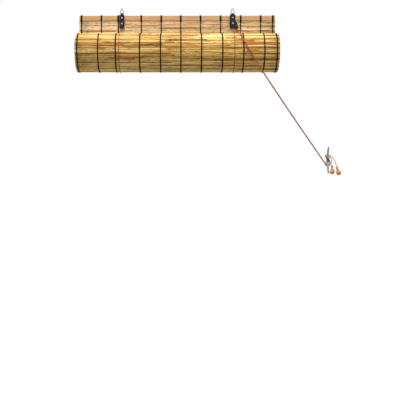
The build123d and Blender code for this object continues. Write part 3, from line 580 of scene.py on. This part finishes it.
def straw_blank(sides):
    """One straw of unit length and radius along X, with cut ends whose inner disc is painted shade for the
    reed's hollow. Its ring of edges marks the stem's joint."""
    bpy.ops.mesh.primitive_cylinder_add(vertices=sides, radius=1, depth=1, rotation=(0, math.pi / 2, 0))
    blank = settle(bpy.context.object, "straw")
    blank.data.materials.append(None)
    blank.data.materials.append(None)
    bpy.ops.object.mode_set(mode="EDIT")
    bpy.ops.mesh.select_all(action="SELECT")
    bpy.ops.mesh.bisect(plane_co=(0.06, 0, 0), plane_no=(1, 0, 0))
    bpy.ops.mesh.select_all(action="DESELECT")
    bpy.ops.object.mode_set(mode="OBJECT")
    for face in blank.data.polygons:
        face.select = abs(face.normal.x) > 0.9
    bpy.ops.object.mode_set(mode="EDIT")
    bpy.ops.mesh.select_mode(type="FACE")
    bpy.ops.mesh.inset(thickness=0.42)
    bpy.ops.object.mode_set(mode="OBJECT")
    # The inset disc in each end takes the second finish, painted shade for the reed's hollow
    for face in blank.data.polygons:
        face.use_smooth = abs(face.normal.x) < 0.9
        face.material_index = 1 if face.select else 0
    bpy.ops.object.select_all(action="DESELECT")
    return blank


STRAW_LENGTHS = (0.11, 0.17, 0.24, 0.33, 0.45)
SHORTEST_STRAW = 0.07
STRAW_END_GAP = 0.0006
# The mat's ends are cut by hand and vary by a millimetre
CUT_VARIES = (-0.0005, 0.0012)
# Tones from 0, dark, to 1, pale: the rows' middle, and how far rows and straws stray from it
ROW_TONE, ROW_STRAYS, STRAW_STRAYS = 0.53, 0.13, 0.27


def lay_row(blank, place, tilt, thick):
    """Straws end to end in one row. place is the row's (y, z), tilt its turn about X."""
    laid = []
    row_tone = chance.gauss(ROW_TONE, ROW_STRAYS)
    left = -BLIND_HALF - chance.uniform(*CUT_VARIES)
    while left < BLIND_HALF - SHORTEST_STRAW:
        length = chance.choice(STRAW_LENGTHS) * chance.uniform(0.8, 1.25)
        right = left + length
        if right > BLIND_HALF - SHORTEST_STRAW:
            right = BLIND_HALF + chance.uniform(*CUT_VARIES)
        radius = thick * chance.uniform(0.86, 1.06)
        matrix = Matrix.Translation(((left + right) / 2, place[0], place[1]))
        matrix = matrix @ Matrix.Rotation(tilt + chance.uniform(-0.4, 0.4), 4, "X")
        matrix = matrix @ Matrix.Diagonal((right - left - STRAW_END_GAP, radius, radius, 1))
        straw = copy_of(blank, "straw", matrix)
        tone = min(0.98, max(0.02, row_tone + chance.gauss(0.0, STRAW_STRAYS)))
        values = straw.data.attributes.new("tone", "FLOAT", "POINT")
        values.data.foreach_set("value", [tone] * len(straw.data.vertices))
        laid.append(straw)
        left = right
    return laid


def wound(length):
    """Angle and middle radius of the mat's spiral after a length of mat."""
    inner = math.sqrt(ROLL_MIDDLE**2 - TURN_PITCH * length / math.pi)
    return (ROLL_MIDDLE - inner) * 2 * math.pi / TURN_PITCH, inner


def on_roll(angle, radius):
    """A point (y, z) round the roll's axis, from its back, down and under towards the room."""
    return ROLL_Y + radius * math.cos(angle), ROLL_Z - radius * math.sin(angle)


# The mat is two straws thick, the rear ones set in the gaps of the front ones
LAYER = 0.00172
STRAW = 0.00180
# One thin row lies deep in the roll and shows as a dark line along its front
SUNK_ROW, SUNK_BY, SUNK_SHARE = 66, 0.002, 0.55

blank = straw_blank(8)
straws = []
for i in range(DROP_ROWS):
    z = MAT_TOP - (i + 0.5) * STRAW_PITCH
    straws += lay_row(blank, (MAT_Y - LAYER, z), 0, STRAW)
    if i < DROP_ROWS - 1:
        straws += lay_row(blank, (MAT_Y + LAYER, z - STRAW_PITCH / 2), 0, STRAW)
hanging = join(straws, "reeds_hanging")
bpy.data.objects.remove(blank)
paint(hanging, hanging_reed, painted_hollow_shade)
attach(hanging, "frame")
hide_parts("mat_drop")

blank = straw_blank(6)
straws = []
for i in range(ROLL_ROWS):
    for offset, height in ((0.5, LAYER), (1.0, -LAYER)):
        length = (i + offset) * STRAW_PITCH
        # The mat's inner end has a straw on one face only
        if length > ROLL_ROWS * STRAW_PITCH - 0.001:
            continue
        angle, middle = wound(length)
        sunk = i == SUNK_ROW and height > 0
        lift, thick = (height - SUNK_BY, STRAW * SUNK_SHARE) if sunk else (height, STRAW)
        straws += lay_row(blank, on_roll(angle, middle + lift), -angle, thick)
rolled = join(straws, "reeds_rolled")
bpy.data.objects.remove(blank)
paint(rolled, rolled_reed, painted_hollow_shade)
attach(rolled, "roll")
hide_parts("mat_roll")

# The stretch that comes off the roll lies folded away in the lowest straws while the blind is up
FOLD = 0.0046
bpy.ops.mesh.primitive_cube_add(size=1, location=(0, MAT_Y, DROP_BOTTOM + FOLD / 2),
                                scale=(2 * BLIND_HALF - 0.002, FOLD, FOLD))
lowered = settle(bpy.context.object, "reeds_lowered")
stretch_with_roll(lowered)
paint(lowered, lowered_reed)


# Warp threads


# How far a strand lies from the mat's middle over a straw and in the gap between two
OVER_STRAW, IN_GAP = 0.00405, 0.0035
STRAND_RADIUS, STRAND_SWAY = 0.0015, 0.0016
# Half straws along the roll's outermost turn that the threads cover
ROUND_FROM, ROUND_TO = 2, 240


def laced(points, name):
    """Two strands that cross between one row of straws and the next."""
    strands = []
    for side in (1, -1):
        route = []
        for i, (y, z) in enumerate(points):
            sway = STRAND_SWAY if (i // 2) % 2 else -STRAND_SWAY
            route.append((side * sway * (0.5 if i % 2 else 1), y, z))
        strands.append(as_mesh(wire(name, route, STRAND_RADIUS, sides=0, kind="POLY")))
    return strands


def repeat_at_threads(pieces, name, body, *covered):
    """Copy one warp's pieces to the place of each of the eleven."""
    pattern = join(pieces, name)
    copies = [copy_of(pattern, name, Matrix.Translation((x, 0, 0))) for x in THREAD_XS]
    bpy.data.objects.remove(pattern)
    threads = join(copies, name)
    smooth(threads, 70)
    paint(threads, warp_thread)
    if body:
        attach(threads, body)
    if covered:
        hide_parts(*covered)
    return threads


faces = []
for side in (-1, 1):
    line = []
    for i in range(2 * DROP_ROWS + 1):
        out = OVER_STRAW if i % 2 else IN_GAP
        line.append((MAT_Y + side * out, MAT_TOP - i * STRAW_PITCH / 2))
    faces += laced(line, "warp_front" if side < 0 else "warp_back")
repeat_at_threads(faces, "warp_hanging", "frame", "drop_threads")

line = []
for i in range(ROUND_FROM, ROUND_TO):
    angle, middle = wound(i * STRAW_PITCH / 2)
    line.append(on_roll(angle, middle + (OVER_STRAW if i % 2 else IN_GAP)))
repeat_at_threads(laced(line, "warp_round"), "warp_rolled", "roll", "roll_threads")

# On the stretch that unrolls each warp is a flat band, front and back
BAND_OUT, BAND_WIDTH, BAND_DEPTH = 0.0027, 0.0044, 0.0010
bands = []
for side in (-1, 1):
    bpy.ops.mesh.primitive_cube_add(size=1, location=(0, MAT_Y + side * BAND_OUT, DROP_BOTTOM + FOLD / 2),
                                    scale=(BAND_WIDTH, BAND_DEPTH, FOLD))
    bands.append(settle(bpy.context.object, "band"))
lowered_warp = repeat_at_threads(bands, "warp_lowered", None)
stretch_with_roll(lowered_warp)

# Six turns of thread bind the lath at each warp. They lie on it and cut its corners.
TURN_STEP, TURN_RADIUS, TURN_LIFT = 0.00123, 0.00066, 0.0007
LATH_HALF = 0.006
turns = []
for i in range(6):
    x = (i - 2.5) * TURN_STEP
    low, high = RAIL_BOTTOM - TURN_LIFT, RAIL_TOP + TURN_LIFT
    near, far = MAT_Y - LATH_HALF - TURN_LIFT, MAT_Y + LATH_HALF + TURN_LIFT
    cut = 0.0018
    route = [(x, near + cut, high), (x, far - cut, high),
             (x, far - cut / 3, high - cut / 3), (x, far, high - cut),
             (x, far, low + cut), (x, far - cut / 3, low + cut / 3),
             (x, far - cut, low), (x, near + cut, low),
             (x, near + cut / 3, low + cut / 3), (x, near, low + cut),
             (x, near, high - cut), (x, near + cut / 3, high - cut / 3)]
    turns.append(as_mesh(wire("turn", route, TURN_RADIUS, sides=1, cyclic=True, kind="POLY")))
repeat_at_threads(turns, "rail_bindings_wound", "frame", "rail_bindings")


# Floor, light and background


def stage_finish():
    """Matt white studio paper: it melts into the background, and the object still throws its shadow."""
    material, tree = new_material("white_paper")
    path = add(tree, "ShaderNodeLightPath")
    seen = add(tree, "ShaderNodeMath", {0: path.outputs["Is Camera Ray"], 1: path.outputs["Is Glossy Ray"]},
               operation="MAXIMUM")
    surface = add(tree, "ShaderNodeBsdfPrincipled", {"Base Color": linear("#B4B3B1"), "Roughness": 0.9})
    glow = add(tree, "ShaderNodeEmission", {"Strength": 0.9})
    both = add(tree, "ShaderNodeAddShader", {0: surface.outputs[0], 1: glow.outputs[0]})
    mixed = add(tree, "ShaderNodeMixShader", {0: seen.outputs[0], 1: surface.outputs[0], 2: both.outputs[0]})
    add(tree, "ShaderNodeOutputMaterial", {"Surface": mixed.outputs[0]})
    return material


# The floor lies below the roll when the blind is all the way down
FLOOR_Z = -1.95
bpy.ops.mesh.primitive_plane_add(size=14, location=(0, 0, FLOOR_Z))
floor = settle(bpy.context.object, "floor")
paint(floor, stage_finish())
floor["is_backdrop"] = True

world = bpy.data.worlds.new("studio")
bpy.context.scene.world = world
world.use_nodes = True
tree = world.node_tree
tree.nodes.clear()
path = add(tree, "ShaderNodeLightPath")
seen = add(tree, "ShaderNodeMath",
           {0: path.outputs["Is Camera Ray"], 1: path.outputs["Is Transmission Ray"]}, operation="MAXIMUM")
seen = add(tree, "ShaderNodeMath", {0: seen.outputs[0], 1: path.outputs["Is Glossy Ray"]},
           operation="MAXIMUM")
# The camera and the shine on metal see white, and the object is lit more softly
soft = add(tree, "ShaderNodeBackground", {"Color": (1, 1, 1, 1), "Strength": 0.32})
white = add(tree, "ShaderNodeBackground", {"Color": (1, 1, 1, 1), "Strength": 1.0})
mixed = add(tree, "ShaderNodeMixShader", {0: seen.outputs[0], 1: soft.outputs[0], 2: white.outputs[0]})
add(tree, "ShaderNodeOutputWorld", {"Surface": mixed.outputs[0]})


def lamp(name, place, aim, size, energy):
    """A square soft light that faces the point it is aimed at."""
    light = bpy.data.lights.new(name, "AREA")
    light.size = size
    light.energy = energy
    holder = bpy.data.objects.new(name, light)
    holder.location = place
    holder.rotation_euler = (Vector(aim) - Vector(place)).to_track_quat("-Z", "Y").to_euler()
    bpy.context.scene.collection.objects.link(holder)


lamp("high_key", (-0.3, -1.1, 2.0), (0, 0, -0.2), 1.4, 84)
lamp("front_fill", (0.9, -3.2, 0.2), (0, 0, -0.3), 1.8, 18)
lamp("rear_fill", (-0.5, 2.6, 0.9), (0, 0, -0.4), 2.0, 26)

low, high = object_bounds()
